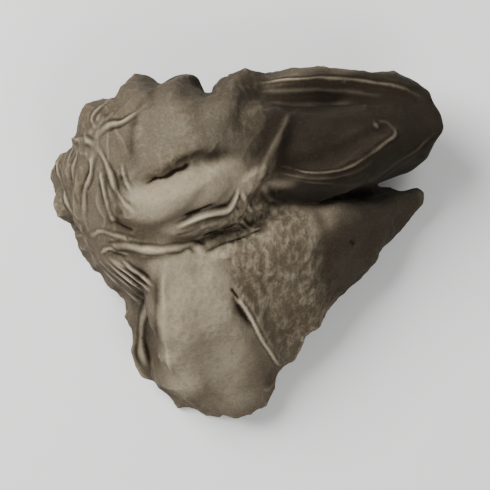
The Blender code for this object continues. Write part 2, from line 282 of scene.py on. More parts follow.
@dataclass(frozen=True)
class Fold:
    """A fine ridge or crease along a line seen from above, which lies on the skin.

    Args:
        name: What it is.
        stroke: Its cross-section and its wear.
        line: Points that it passes through.
        taper: How much wider it is at its start and at its end.
        lean: How far it leans to the left of its line, below zero to the right.
        step: The distance between the points that it is drawn with.
        fade: The share of its length over which it fades at either end.
    """

    name: str
    stroke: Stroke
    line: Line
    taper: tuple[float, float] = (1.0, 1.0)
    lean: float = 0.0
    step: float = 0.04
    fade: float = 0.14

    def route(self, solid: BVHTree) -> np.ndarray:
        """Draw a smooth curve through the points of the line, and lay it on the solid.

        Args:
            solid: The solid's faces.

        Returns:
            One row of three numbers for each step along the curve.
        """
        line = np.array(self.line)
        knots = np.arange(len(line), dtype=float)
        slopes = np.gradient(line, axis=0)
        at = np.linspace(0, knots[-1], CURVE_STEPS * (len(line) - 1) + 1)
        i = np.clip(at.astype(int), 0, len(line) - 2)
        t = (at - i)[:, None]
        near = (1 + 2 * t) * (1 - t) ** 2 * line[i] + t * (1 - t) ** 2 * slopes[i]
        flat = near + t**2 * (3 - 2 * t) * line[i + 1] - t**2 * (1 - t) * slopes[i + 1]
        down = Vector((0, 0, -1))
        hits = [solid.ray_cast(Vector((x, y, HIGH_ABOVE)), down)[0] for x, y in flat]
        struck = [k for k, hit in enumerate(hits) if hit]
        heights = np.interp(range(len(flat)), struck, [hits[k].z for k in struck])
        curve = np.column_stack([flat, heights])
        run = np.concatenate([[0], np.cumsum(np.linalg.norm(np.diff(curve, axis=0), axis=1))])
        even = np.linspace(0, run[-1], max(int(run[-1] / self.step), FEWEST_STEPS))
        return np.column_stack([np.interp(even, run, axis) for axis in curve.T])

    def press(self, points: np.ndarray, solid: BVHTree) -> "Press":
        """Work out what the fold does to the skin.

        Args:
            points: One row of three numbers for each point.
            solid: The solid's faces, on which the fold lies.

        Returns:
            What it does.
        """
        stroke = self.stroke
        route = self.route(solid)
        reach = FOLD_REACH * stroke.width * max(*self.taper, 1)
        low, high = route.min(0) - reach, route.max(0) + reach
        near = np.where(((points > low) & (points < high)).all(1))[0]
        press = Press.none(len(points))
        if not len(near):
            return press
        ahead = unit(np.gradient(route, axis=0))
        k, _ = nearest(points[near], route)
        away = points[near] - route[k]
        along = (away * ahead[k]).sum(1)
        done = k / (len(route) - 1)
        first, last = self.taper
        uneven = 1 + UNEVEN * soft_noise(route / UNEVEN_RUN)[k]
        width = stroke.width * uneven * (1 + (first - 1) * (1 - done) ** 2 + (last - 1) * done**2)
        across = np.sqrt(np.maximum((away**2).sum(1) - along**2, 0)) / width
        past_end = np.where((k == 0) | (k == len(route) - 1), along / width, 0)
        strength = ease(done / self.fade + END_SHARE) * ease((1 - done) / self.fade + END_SHARE)
        strength = strength * np.exp(-(past_end**2)) * uneven
        foot = np.exp(-((across / FOOT_WIDTH) ** 2))
        peak = CREST_SHARE * np.exp(-(across**CREST_POWER)) + (1 - CREST_SHARE) * foot
        beside = np.exp(-((across - BESIDE) ** 2))
        press.lift[near] = (stroke.lift * peak - stroke.groove * beside) * strength
        left = np.stack([-ahead[k, 1], ahead[k, 0], np.zeros(len(near))], 1)
        press.slide[near] = left * (self.lean * peak * strength)[:, None]
        press.pale[near] = stroke.pale * strength * np.exp(-PALE_FALL * across**2)
        darkest = beside if stroke.lift > 0 else np.exp(-(across**2))
        press.dark[near] = stroke.shade * strength * darkest
        return press


@dataclass
class Press:
    """What folds do to each point of the skin.

    Args:
        lift: How far it moves out of the skin.
        slide: How it moves sideways.
        pale: How near a pale crest it is, partly a painted highlight.
        dark: How much painted shade it gets in a groove or on the floor of a crease.
    """

    lift: np.ndarray
    slide: np.ndarray
    pale: np.ndarray
    dark: np.ndarray

    @classmethod
    def none(cls, count: int) -> "Press":
        """Start with nothing pressed on this many points."""
        return cls(np.zeros(count), np.zeros((count, 3)), np.zeros(count), np.zeros(count))

    def add(self, other: "Press") -> None:
        """Add what another fold does.

        Args:
            other: What it does.
        """
        self.lift += other.lift
        self.slide += other.slide
        self.pale = np.maximum(self.pale, other.pale)
        self.dark = np.maximum(self.dark, other.dark)


@dataclass(frozen=True)
class Wrinkles:
    """Unevenness of one kind, over the whole skin or over one patch of it.

    Args:
        name: What it is.
        grain: Its kind.
        spacing: The distance between its crests.
        height: How far it moves the skin.
        side: The face of the sheet that has it, or both, which then move together.
        place: The part of the sheet that it keeps to.
        patch: Where it is, or None for everywhere.
        course: Which way it runs.
        turn: The direction of a straight course, in degrees.
        stretch: How much longer than wide it is.
        warp: How far it wanders, in spacings.
    """

    name: str
    grain: Grain
    spacing: float
    height: float
    side: Side = Side.OUTER
    place: Place = Place.ANYWHERE
    patch: Patch | None = None
    course: Course = Course.STRAIGHT
    turn: float = 0.0
    stretch: float = 1.0
    warp: float = 0.6

    def places(self, points: np.ndarray) -> np.ndarray:
        """Lay the points out so that the wrinkles run the way they should.

        Args:
            points: One row of three numbers for each point.

        Returns:
            One row of three numbers for each point, in spacings.
        """
        if self.course is Course.RADIAL:
            x, y = points[:, 0] - HUB[0], points[:, 1] - HUB[1]
            run = np.hypot(x, y) - points[:, 2]
            around = unit(np.stack([x, y], 1)) * HUB_RING
            laid = np.column_stack([around, run / self.stretch])
        else:
            along, across = turned(points, self.turn)
            laid = np.column_stack([along / self.stretch, across, points[:, 2]])
        laid = laid / self.spacing
        return laid + self.warp * soft_push(points / (WARP_RUN * self.spacing) + WARP_SHIFT)

    def height_at(self, points: np.ndarray) -> np.ndarray:
        """Read the wrinkles, centred on zero.

        Args:
            points: One row of three numbers for each point.

        Returns:
            How far each point moves out of the skin.
        """
        laid = self.places(points)
        if self.grain is Grain.NET:
            gaps = np.array([noise.voronoi(Vector(p))[0][:2] for p in laid])
            shape = 0.5 - np.clip((gaps[:, 1] - gaps[:, 0]) / NET_EDGE, 0, 1)
        elif self.grain is Grain.CRESTS:
            shape = (1 - np.clip(np.abs(soft_noise(laid)) / CREST_EDGE, 0, 1)) ** 2 - CREST_MEAN
        else:
            shape = 2 * soft_noise(laid)
        return self.height * shape


CROWN = Patch((-2.0, 6.8), (4.6, 3.0), turn=5)
CROWN_RIGHT = Patch((0.9, 7.4), (1.9, 3.0), fade=0.9)
CROWN_TOP = Patch((-2.6, 10.0), (5.0, 2.0), fade=0.9)
ROLL = Patch((-3.4, 2.9), (3.5, 1.4), turn=20)
EAR = Patch((6.6, 6.9), (6.2, 3.5), turn=8, fade=0.35)
EAR_MARGIN = Patch((10.6, 7.0), (2.2, 3.0), fade=0.9)
RECESS = Patch((4.6, 8.6), (4.6, 0.8), turn=2)
GAP = Patch((5.6, 3.4), (5.2, 0.9), turn=8)
PIT = Patch((1.0, 2.4), (2.1, 1.4), turn=40)
SUNKEN = Patch((-1.2, 0.4), (2.3, 0.75), turn=23, fade=0.35)
APRON_FACE = Patch((2.3, -1.8), (5.4, 2.9), turn=-68, fade=0.35)
APRON_EDGE = Patch((7.9, 0.4), (5.0, 2.7), turn=50, fade=0.45)
APRON_LEFT = Patch((-2.6, -5.2), (5.0, 2.8), turn=-80)
APRON_SIDE = Patch((-5.9, -4.6), (1.1, 3.4), fade=0.6)
GATHERED = Patch((-8.8, 3.4), (2.6, 5.4))

# A stroke's pale crest is partly a painted highlight, and its shade is painted shade beside it or along its
# crease.
# The shade and shadow strokes are mostly painted shade with little depth.
CORD = Stroke(0.12, 0.12, groove=0.03, pale=1.2, shade=0.8)
THIN_CORD = Stroke(0.075, 0.06, groove=0.02, pale=0.8, shade=0.6)
FAINT_CORD = Stroke(0.09, 0.04, groove=0.02, pale=0.2, shade=0.4)
KEEL = Stroke(0.12, 0.09, pale=0.3, shade=0.3)
LIP = Stroke(0.065, 0.06, groove=0.03, pale=0.6, shade=0.9)
FAINT_LIP = Stroke(0.08, 0.035, groove=0.02, pale=0.25, shade=0.4)
GATHER = Stroke(0.09, 0.07, groove=0.035, pale=0.65, shade=0.8)
THIN_GATHER = Stroke(0.07, 0.05, groove=0.025, pale=0.5, shade=0.65)
PLEAT = Stroke(0.095, 0.07, groove=0.06, pale=1.1, shade=1.1)
RIDGE = Stroke(0.065, 0.09, groove=0.02, pale=1.0, shade=0.7)
ROUNDED_EDGE = Stroke(0.3, 0.08, pale=0.12)
SOFT_EDGE = Stroke(0.11, 0.08, pale=0.45)
GROOVE = Stroke(0.2, -0.12, shade=0.8)
CREASE = Stroke(0.08, -0.16, shade=1.1)
SLIT = Stroke(0.1, -0.14, shade=1.2)
SHADE = Stroke(0.25, -0.01, shade=0.65)
SHADOW = Stroke(0.4, -0.04, shade=0.6)
VALLEY = Stroke(0.35, -0.18, shade=0.6)
DIMPLE = Stroke(0.12, -0.12, shade=0.8)
FLOOR = Stroke(0.4, 0.24)

FOLDS = (
    # A thin, ragged crease below the crown with painted shade in it, which softens to the right into a
    # painted shadow.
    Fold(
        "crown_crease",
        CREASE,
        ((-5.8, 3.3), (-5.4, 3.45), (-5.0, 3.7), (-4.5, 3.75), (-4.0, 4.05), (-3.5, 4.25), (-2.8, 4.65)),
        taper=(0.6, 1.5),
        fade=0.3,
    ),
    Fold("crown_shadow", SHADOW, ((-4.4, 4.0), (-3.0, 4.75), (-1.6, 5.1), (-0.4, 5.3), (0.6, 5.6)), fade=0.4),
    Fold("crown_valley", VALLEY, ((-5.6, 8.3), (-6.2, 7.2), (-6.4, 6.2), (-6.3, 5.2), (-6.0, 4.2)), fade=0.3),
    Fold("cheek_valley", VALLEY, ((-6.8, 4.0), (-7.2, 3.0), (-7.2, 2.2), (-6.9, 1.5)), taper=(0.6, 0.6)),
    # Cords and the keel below the roll, and the sunken floor between them.
    Fold(
        "cord",
        CORD,
        ((-4.0, 1.0), (-3.5, 1.15), (-2.6, 1.5), (-1.75, 1.75), (-1.0, 2.05), (-0.5, 2.7), (-0.3, 3.3)),
        taper=(1.0, 0.6),
        lean=-0.05,
    ),
    Fold("above_cord", SLIT, ((-3.8, 1.5), (-3.0, 1.75), (-2.1, 2.05), (-1.3, 2.4)), fade=0.35),
    Fold(
        "keel",
        KEEL,
        ((-0.4, 3.2), (0.2, 3.8), (0.9, 4.3), (1.3, 5.0), (1.75, 5.8), (2.1, 6.5), (2.5, 7.5)),
        taper=(1.5, 0.6),
    ),
    Fold("keel_branch", FAINT_CORD, ((1.2, 4.6), (0.9, 3.8), (0.5, 3.1))),
    Fold("pit_left", THIN_CORD, ((-0.3, 3.1), (-0.05, 2.6), (0.25, 2.1), (0.5, 1.8))),
    Fold("pit_knot", THIN_CORD, ((-0.35, 1.65), (-0.15, 1.3), (0.1, 1.05), (0.5, 0.9), (0.9, 1.1))),
    Fold("pit_floor", FAINT_CORD, ((1.0, 3.4), (1.5, 2.7), (2.2, 2.4))),
    Fold("pit_crease", DIMPLE, ((-0.55, 2.25), (-0.3, 1.9), (-0.1, 1.75)), taper=(0.7, 0.7)),
    Fold("sunken_floor", FLOOR, ((-3.0, 0.35), (-1.8, 0.8), (-0.7, 1.3), (0.5, 1.75)), fade=0.3),
    Fold("sunken_fold", FAINT_CORD, ((-3.6, 0.5), (-2.4, 0.95), (-1.3, 1.3), (-0.6, 1.4))),
    Fold("sunken_crease", DIMPLE, ((-3.9, 0.5), (-3.2, 0.65), (-2.4, 1.0)), taper=(0.6, 0.6)),
    Fold(
        "lower_cord",
        CORD,
        ((-7.0, 0.05), (-5.8, -0.2), (-4.9, -0.25), (-4.0, -0.1), (-3.3, 0.05), (-2.7, -0.2), (-2.4, -0.6)),
        lean=-0.04,
    ),
    Fold(
        "small_cord",
        THIN_CORD,
        ((-8.9, 0.5), (-8.2, 0.8), (-7.4, 0.55), (-6.6, 0.35), (-5.7, 0.2)),
        fade=0.35,
    ),
    Fold("small_cord_low", THIN_CORD, ((-8.3, -0.45), (-7.8, -0.2), (-7.2, -0.35), (-6.6, -0.5))),
    Fold("cord_gap", DIMPLE, ((-8.0, 0.1), (-7.4, 0.15), (-6.8, 0.2)), taper=(0.7, 0.7), fade=0.3),
    Fold("cord_hollow", DIMPLE, ((-7.5, 1.4), (-7.0, 1.05), (-6.3, 0.75)), taper=(1.0, 0.5)),
    # The rounded top edge of the apron, and the slit above it with painted shade along it.
    Fold("brow_low", ROUNDED_EDGE, ((-4.7, -1.2), (-3.9, -1.0), (-3.0, -0.95), (-2.3, -1.1))),
    Fold("brow", ROUNDED_EDGE, ((-2.2, -1.0), (-0.9, -0.45), (0.4, 0.0), (1.4, 0.7), (2.6, 2.0), (3.7, 2.6))),
    Fold("brow_right", FAINT_LIP, ((3.2, 2.5), (4.4, 2.5), (6.1, 2.6), (8.0, 3.0), (9.5, 3.5), (10.3, 3.5))),
    Fold(
        "slit",
        SLIT,
        ((-2.6, -0.6), (-1.9, -0.3), (-1.2, 0.05), (-0.3, 0.4), (0.6, 0.8), (1.3, 1.15)),
        taper=(2.2, 2.0),
        fade=0.2,
    ),
    Fold(
        "slit_shade",
        SHADE,
        ((-2.7, -0.4), (-1.8, -0.1), (-1.1, 0.25), (-0.3, 0.6), (0.6, 1.0), (1.4, 1.4)),
    ),
    # The ear's lip with a fainter one below it, its knob, its far rim and the recess before that.
    Fold(
        "ear_lip",
        LIP,
        ((2.0, 4.5), (3.6, 4.15), (5.0, 4.15), (6.1, 4.5), (7.2, 5.25), (8.0, 5.8), (8.6, 6.3), (8.4, 7.0)),
        taper=(0.7, 1.0),
    ),
    Fold("ear_lip_end", FAINT_LIP, ((8.5, 6.6), (8.2, 7.05), (7.6, 7.1))),
    Fold("ear_lip_low", FAINT_LIP, ((1.9, 4.1), (3.4, 3.8), (5.0, 3.8), (6.3, 4.2), (7.4, 4.9))),
    Fold("ear_edge", FAINT_LIP, ((2.6, 3.7), (4.4, 3.5), (6.2, 3.7), (8.0, 4.5), (9.8, 5.4), (11.1, 6.5))),
    Fold("ear_knob", THIN_CORD, ((7.35, 6.95), (7.5, 6.85), (7.6, 6.8)), taper=(1.3, 1.3)),
    Fold(
        "far_rim",
        LIP,
        ((0.4, 9.3), (1.2, 9.5), (2.0, 9.6), (3.2, 9.65), (4.7, 9.7), (6.7, 9.6), (9.2, 9.1), (10.6, 8.4)),
        fade=0.3,
    ),
    Fold("recess_fold", FAINT_CORD, ((0.6, 8.9), (2.6, 8.9), (4.4, 9.0), (6.4, 8.9), (8.2, 8.6))),
    Fold("recess_fold_low", FAINT_CORD, ((1.2, 8.2), (3.0, 8.1), (4.8, 8.2), (6.4, 8.3))),
    # The apron's thin ridge with its pit and a painted shadow beside it, the edge of its smooth facet drawn
    # as painted shade, and its left folds.
    Fold(
        "apron_ridge",
        RIDGE,
        ((-0.75, -2.7), (-0.1, -3.6), (0.45, -4.5), (1.0, -5.6), (1.6, -6.6), (2.1, -7.4)),
        taper=(1.2, 0.9),
    ),
    Fold("ridge_shadow", GROOVE, ((-0.95, -2.7), (-0.5, -3.5), (-0.05, -4.2), (0.45, -5.2)), fade=0.4),
    Fold("ridge_slit", SLIT, ((-0.95, -2.4), (-0.55, -2.9), (-0.3, -3.3)), taper=(0.7, 0.7), fade=0.3),
    Fold(
        "facet_crease",
        SHADOW,
        ((3.7, 2.7), (4.2, 1.8), (4.6, 0.8), (5.0, -0.4)),
        taper=(0.6, 0.6),
        fade=0.4,
    ),
    Fold("apron_pit", DIMPLE, ((6.3, 0.2), (6.5, 0.05), (6.65, -0.1))),
    Fold("apron_fold", SOFT_EDGE, ((-4.5, -0.9), (-4.7, -2.2), (-4.65, -3.8), (-4.6, -5.6), (-4.4, -8.0))),
    Fold("apron_fold_left", GROOVE, ((-4.9, -1.3), (-5.1, -2.4), (-5.1, -4.0), (-5.0, -6.0)), fade=0.3),
    Fold("apron_pleat", GATHER, ((-5.7, -3.3), (-6.2, -4.8), (-6.3, -6.3), (-6.0, -7.6))),
    # The gathers at the left of the crown, which meet in a knot.
    Fold("gather_top", GATHER, ((-5.4, 8.1), (-6.9, 6.95), (-7.6, 6.75), (-8.3, 6.2), (-8.5, 5.6)), fade=0.5),
    Fold("gather_loop", THIN_GATHER, ((-7.4, 8.5), (-8.3, 8.0), (-8.8, 7.2), (-8.3, 6.4)), fade=0.3),
    Fold("gather_knot", GATHER, ((-10.2, 6.6), (-9.9, 6.1), (-9.15, 6.0), (-8.5, 5.6))),
    Fold("gather_strand", THIN_GATHER, ((-9.5, 7.7), (-9.8, 6.8), (-10.0, 5.9), (-10.2, 4.8))),
    Fold(
        "gather_rim",
        GATHER,
        ((-10.3, 6.9), (-10.8, 5.6), (-11.0, 4.6), (-10.7, 3.4), (-10.2, 2.2), (-9.7, 1.3)),
    ),
    Fold("gather_low", GATHER, ((-9.4, 1.3), (-9.15, 0.1), (-8.6, -1.1))),
    Fold(
        "gather_first",
        GATHER,
        ((-8.5, 5.6), (-8.0, 5.0), (-7.6, 4.1), (-7.25, 3.05), (-6.6, 2.1), (-6.0, 1.6)),
        fade=0.3,
    ),
    Fold("gather_second", THIN_GATHER, ((-8.2, 4.5), (-7.9, 2.8), (-7.5, 1.5), (-6.9, 0.9)), fade=0.3),
    Fold("gather_third", GATHER, ((-8.6, 5.3), (-8.8, 3.7), (-9.1, 2.9), (-9.1, 1.4)), fade=0.3),
    Fold("gather_fourth", THIN_GATHER, ((-9.4, 5.9), (-9.8, 4.4), (-9.8, 3.0), (-9.5, 1.8)), fade=0.3),
    Fold("cheek_fold", THIN_GATHER, ((-6.9, 4.6), (-6.7, 3.6), (-6.3, 2.9)), fade=0.3),
)

PLEAT_OUTER = ((-9.0, -0.6), (-8.2, -1.6), (-7.1, -2.7), (-6.0, -3.6))
PLEAT_INNER = ((-7.4, -0.8), (-6.7, -1.3), (-5.9, -1.9), (-5.2, -2.5))
PLEATS = 5

WRINKLES = (
    Wrinkles("undulation", Grain.SWELLS, 3.2, 0.12, Side.BOTH),
    Wrinkles(
        "wall_folds", Grain.CRESTS, 2.4, 0.36, Side.BOTH, Place.WALLS, course=Course.RADIAL, stretch=3.5
    ),
    Wrinkles("rim_ruffles", Grain.SWELLS, 1.7, 0.22, Side.BOTH, Place.RIM, course=Course.RADIAL, stretch=2.0),
    Wrinkles("wall_veins", Grain.CRESTS, 1.2, 0.14, place=Place.WALLS, course=Course.RADIAL, stretch=4.0),
    Wrinkles("fine_veins", Grain.CRESTS, 0.6, 0.05, place=Place.WALLS, course=Course.RADIAL, stretch=3.0),
    Wrinkles("apron_swells", Grain.SWELLS, 0.9, 0.06, patch=APRON_FACE, turn=80, stretch=2.0, warp=0.8),
    Wrinkles("apron_streaks", Grain.CRESTS, 0.6, 0.035, patch=APRON_FACE, turn=82, stretch=2.5, warp=1.2),
    Wrinkles("apron_net", Grain.NET, 0.55, 0.035, patch=APRON_FACE, turn=82, stretch=1.6, warp=0.7),
    Wrinkles("facet_swells", Grain.SWELLS, 1.0, 0.05, patch=APRON_EDGE, turn=50, stretch=2.0),
    Wrinkles("left_net", Grain.NET, 0.5, 0.045, patch=APRON_LEFT, warp=0.7),
    Wrinkles("left_swells", Grain.SWELLS, 1.3, 0.08, patch=APRON_LEFT, turn=80, stretch=2.0),
    Wrinkles("crown_bands", Grain.SWELLS, 1.3, 0.06, patch=CROWN, turn=85, stretch=3.5),
    Wrinkles("crown_creases", Grain.CRESTS, 0.8, 0.025, patch=CROWN, turn=75, stretch=3.5, warp=1.0),
    Wrinkles("crown_net", Grain.NET, 0.5, 0.018, patch=CROWN),
    Wrinkles("roll_bands", Grain.SWELLS, 0.9, 0.04, patch=ROLL, turn=20, stretch=3.0),
    Wrinkles("roll_net", Grain.NET, 0.5, 0.015, patch=ROLL),
    Wrinkles("ear_streaks", Grain.SWELLS, 0.8, 0.04, patch=EAR, turn=12, stretch=3.5),
    Wrinkles("pit_skin", Grain.NET, 0.6, 0.05, patch=PIT, warp=0.6),
    Wrinkles("sunken_skin", Grain.NET, 0.7, 0.04, patch=SUNKEN, warp=0.6),
    Wrinkles("gathered_skin", Grain.CRESTS, 0.8, 0.07, patch=GATHERED, turn=95, stretch=2.5),
    Wrinkles("inner_veins", Grain.CRESTS, 1.4, 0.12, side=Side.INNER, course=Course.RADIAL, stretch=3.5),
    Wrinkles("inner_swells", Grain.SWELLS, 0.6, 0.03, side=Side.INNER),
)

# The darker tint is the ear's browner colour together with painted shade: in the recess and the gap under the
# ear, on the apron's edges, on the crown's right and top, and a little on the gathers.
# The mottled tint is the apron's own mottling, also on the pit, the sunken floor and the crown's right.
# The paler tint is painted light on the roll and the apron's left, and lifts the shadow in the pit and on the
# sunken floor.
TINTS = {
    Tint.MOTTLED: ((APRON_FACE, 0.8), (PIT, 0.25), (SUNKEN, 0.65), (CROWN_RIGHT, 0.6)),
    Tint.BROWN_AND_SHADE: (
        (EAR, 0.96),
        (EAR_MARGIN, 0.97),
        (RECESS, 0.8),
        (GAP, 1.0),
        (APRON_EDGE, 0.75),
        (APRON_SIDE, 0.5),
        (CROWN_RIGHT, 0.45),
        (CROWN_TOP, 0.5),
        (GATHERED, 0.18),
    ),
    Tint.PAINTED_LIGHT: ((ROLL, 0.65), (SUNKEN, 0.9), (PIT, 0.75), (APRON_LEFT, 0.5)),
}
TINT_WANDER = 0.6  # how far the edges of the tinted patches wander
TINT_RUN = 1.8  # the distance over which they do
TINT_LOWEST = -0.5  # how far downwards the skin faces where a tint ends
TINT_RISE = 0.6


@dataclass
class Skin:
    """The mesh of the skin as arrays, and what is known about its points.

    Args:
        mesh: The mesh that is read and written back.
    """

    mesh: bpy.types.Mesh
    points: np.ndarray = field(init=False)
    edges: np.ndarray = field(init=False)
    neighbours: np.ndarray = field(init=False)

    def __post_init__(self) -> None:
        """Read the mesh."""
        count = len(self.mesh.vertices)
        flat = np.empty(count * 3)
        self.mesh.vertices.foreach_get("co", flat)
        self.points = flat.reshape(-1, 3)
        ends = np.empty(len(self.mesh.edges) * 2, int)
        self.mesh.edges.foreach_get("vertices", ends)
        self.edges = ends.reshape(-1, 2)
        self.neighbours = np.bincount(self.edges.ravel(), minlength=count).astype(float)

    def write(self) -> None:
        """Put the points back into the mesh, none of them below the surface that it rests on."""
        self.points[:, 2] = np.maximum(self.points[:, 2], 0)
        self.mesh.vertices.foreach_set("co", self.points.ravel())
        self.mesh.update()

    def normals(self) -> np.ndarray:
        """Say which way the skin faces.

        Returns:
            One row of three numbers for each point.
        """
        self.write()
        flat = np.empty(len(self.points) * 3)
        self.mesh.vertices.foreach_get("normal", flat)
        return flat.reshape(-1, 3)

    def blurred(self, values: np.ndarray, times: int) -> np.ndarray:
        """Average values with those of the points next to them.

        Args:
            values: One number or one row for each point.
            times: How often to average.

        Returns:
            The blurred values, in the shape that they came in.
        """
        rows = values.reshape(len(self.points), -1).astype(float)
        a, b = self.edges.T
        for _ in range(times):
            summed = np.empty_like(rows)
            for k in range(rows.shape[1]):
                column = rows[:, k]
                summed[:, k] = np.bincount(a, column[b], len(column)) + np.bincount(b, column[a], len(column))
            rows = 0.5 * rows + 0.5 * summed / self.neighbours[:, None]
        return rows.reshape(values.shape)

    def relief(self, times: int, scale: float) -> np.ndarray:
        """Measure how far each point stands out of the skin round it.

        Args:
            times: How far to look round, in blurs.
            scale: The height that counts as 1.

        Returns:
            From -1 in a groove to 1 on a crest.
        """
        out = ((self.points - self.blurred(self.points, times)) * self.normals()).sum(1)
        return np.clip(out / scale, -1, 1)

    def mark(self, name: str, values: np.ndarray) -> None:
        """Keep a number for each point as an attribute of the mesh.

        Args:
            name: The attribute's name.
            values: One number for each point.
        """
        attribute = self.mesh.attributes.new(name, "FLOAT", "POINT")
        attribute.data.foreach_set("value", values.astype(np.float32))

    def mark_tints(self) -> None:
        """Keep how strong each tint is at each point."""
        places = self.points + TINT_WANDER * soft_push(self.points / TINT_RUN)
        upward = ease((self.normals()[:, 2] - TINT_LOWEST) / TINT_RISE)
        for tint, parts in TINTS.items():
            bare = np.ones(len(places))
            for patch, strength in parts:
                bare *= 1 - strength * patch.share(places)
            self.mark(tint.value, (1 - bare) * upward)


@dataclass
class WoodEar:
    """The mushroom's one piece: a thin sheet, felted outside and smooth inside.

    Args:
        node: The solid that it stands for.
        name: The name of the finished piece.
        cell: The size of the even cells that the skin is made of.
        facets_away: How often the solid's flat facets are smoothed.
        rays: How many directions are tried to tell the outer side from the inner.
        ray_heights: How steeply the lowest and the highest of them rise.
        ray_start: How far from its face a ray starts.
        grazing: How much a ray has to point away from its face.
        fewest_rays: How many rays the share of the sky is reckoned from at least.
        least_sky: The share of the sky below which a face is on the inner side.
        side_blurs: How often the sides are blurred, before and after they are told apart.
        rim_band: How near the change from side to side a point of the rim is.
        rim_thinned: How much thinner than the solid the sheet is at its rim.
        rim_reach: How far from the rim the thinning reaches.
        rim_pale: How wide the rim's pale edge is.
        wobble: How far the folds wander from their lines.
        wobble_run: The distance over which they do.
        folds_from: How far upwards the skin faces where folds begin, and how much more where
            they are full.
        walls_below: How far upwards the sheet faces where walls begin, and how much less where
            they are full.
        ruffle_reach: How far from the rim it ruffles.
        hub_calm: How far from the hub radial wrinkles stay away.
        crest_calm: How much less wrinkled the crests of the folds are.
        fine: How far the fine relief looks round, in blurs, and the height that counts as 1.
        broad: The same for the broad relief.
        level: How far upwards the skin faces where it counts as level, and how much less where
            it counts as steep.
        triangles: How many triangles the finished piece has at most.
    """

    node: str = "wood_ear"
    name: str = "wood_ear_flesh"
    cell: float = 0.085
    facets_away: int = 8
    rays: int = 48
    ray_heights: tuple[float, float] = (0.15, 0.98)
    ray_start: float = 0.02
    grazing: float = 0.1
    fewest_rays: int = 6
    least_sky: float = 0.07
    side_blurs: tuple[int, int] = (40, 5)
    rim_band: float = 0.3
    rim_thinned: float = 0.38
    rim_reach: float = 2.2
    rim_pale: float = 0.3
    wobble: float = 0.06
    wobble_run: float = 1.3
    folds_from: tuple[float, float] = (0.18, 0.5)
    walls_below: tuple[float, float] = (0.75, 0.5)
    ruffle_reach: float = 3.2
    hub_calm: float = 3.0
    crest_calm: float = 0.8
    fine: tuple[int, float] = (8, 0.04)
    broad: tuple[int, float] = (80, 0.25)
    level: tuple[float, float] = (0.85, 0.7)
    triangles: int = 190_000
    piece: bpy.types.Object = field(init=False)
    inner: np.ndarray = field(init=False)
    from_rim: np.ndarray = field(init=False)

    def build(self) -> bpy.types.Object:
        """Make the piece.

        Returns:
            The finished piece, still without its material.
        """
        noise.seed_set(SKIN_SEED)
        self.copy_solid()
        solid, seen = self.openness()
        self.even_out()
        skin = Skin(self.piece.data)
        sky = seen[[solid.find_nearest(Vector(p))[2] for p in skin.points]]
        self.inner = self.inner_side(skin, sky)
        rim = skin.points[np.abs(self.inner - 0.5) < self.rim_band]
        self.from_rim = nearest(skin.points, rim)[1]
        self.thin_the_rim(skin)
        press = self.press_folds(skin, solid)
        self.wrinkle(skin, press.pale)
        skin.points = skin.blurred(skin.points, times=1)
        skin.write()
        level, steepening = self.level
        upward = skin.blurred(skin.normals(), times=15)[:, 2]
        marks = {
            "inner": self.inner,
            "pale": press.pale,
            "dark": press.dark,
            "edge": np.exp(-((self.from_rim / self.rim_pale) ** 2)),
            "relief": skin.relief(*self.fine),
            "hollow": skin.relief(*self.broad),
            "shelter": skin.blurred(1 - sky, times=12),
            "steep": ease((level - upward) / steepening),
        }
        for name, values in marks.items():
            skin.mark(name, values)
        skin.mark_tints()
        self.thin_out()
        self.resize(MM)
        return self.piece

    def copy_solid(self) -> None:
        """Copy the solid, close its mesh and bring it to the working size."""
        self.pick(frame["nodes"][self.node])
        bpy.ops.object.duplicate()
        self.piece = bpy.context.object
        self.piece.name = self.name
        self.piece.data.name = self.name
        self.piece.data.materials.clear()
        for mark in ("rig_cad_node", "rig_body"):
            del self.piece[mark]
        self.piece.parent = None
        self.resize(1 / MM)
        bpy.ops.object.mode_set(mode="EDIT")
        bpy.ops.mesh.select_all(action="SELECT")
        bpy.ops.mesh.remove_doubles(threshold=WELD)
        bpy.ops.object.mode_set(mode="OBJECT")

    def pick(self, thing: bpy.types.Object) -> None:
        """Select one object alone and make it the active one.

        Args:
            thing: The object.
        """
        bpy.ops.object.select_all(action="DESELECT")
        thing.select_set(True)
        bpy.context.view_layer.objects.active = thing

    def resize(self, times: float) -> None:
        """Make the piece larger or smaller about the origin.

        Args:
            times: How many times as large it becomes.
        """
        self.pick(self.piece)
        self.piece.scale = (times, times, times)
        bpy.ops.object.transform_apply(location=False, rotation=False, scale=True)

    def openness(self) -> tuple[BVHTree, np.ndarray]:
        """Measure how much open sky each face of the solid sees.

        Returns:
            The solid's faces as a tree to search, and one number for each face.
        """
        mesh = self.piece.data
        tree = BVHTree.FromPolygons([v.co for v in mesh.vertices], [p.vertices for p in mesh.polygons])
        turn = math.pi * (3 - math.sqrt(5))
        heights = np.linspace(*self.ray_heights, self.rays)
        rays = [
            Vector((math.sqrt(1 - z * z) * math.cos(k * turn), math.sqrt(1 - z * z) * math.sin(k * turn), z))
            for k, z in enumerate(heights)
        ]
        seen = []
        for face in mesh.polygons:
            start = face.center + self.ray_start * face.normal
            facing = [ray for ray in rays if ray.dot(face.normal) > self.grazing]
            free = sum(tree.ray_cast(start, ray)[0] is None for ray in facing)
            seen.append(free / max(len(facing), self.fewest_rays))
        return tree, np.array(seen)

    def modify(self, kind: str, **settings: object) -> None:
        """Add a modifier to the piece and apply it.

        Args:
            kind: The modifier's type.
            settings: The values of its settings.
        """
        bpy.context.view_layer.objects.active = self.piece
        bpy.ops.object.modifier_add(type=kind)
        modifier = self.piece.modifiers[-1]
        for key, value in settings.items():
            setattr(modifier, key, value)
        bpy.ops.object.modifier_apply(modifier=modifier.name)

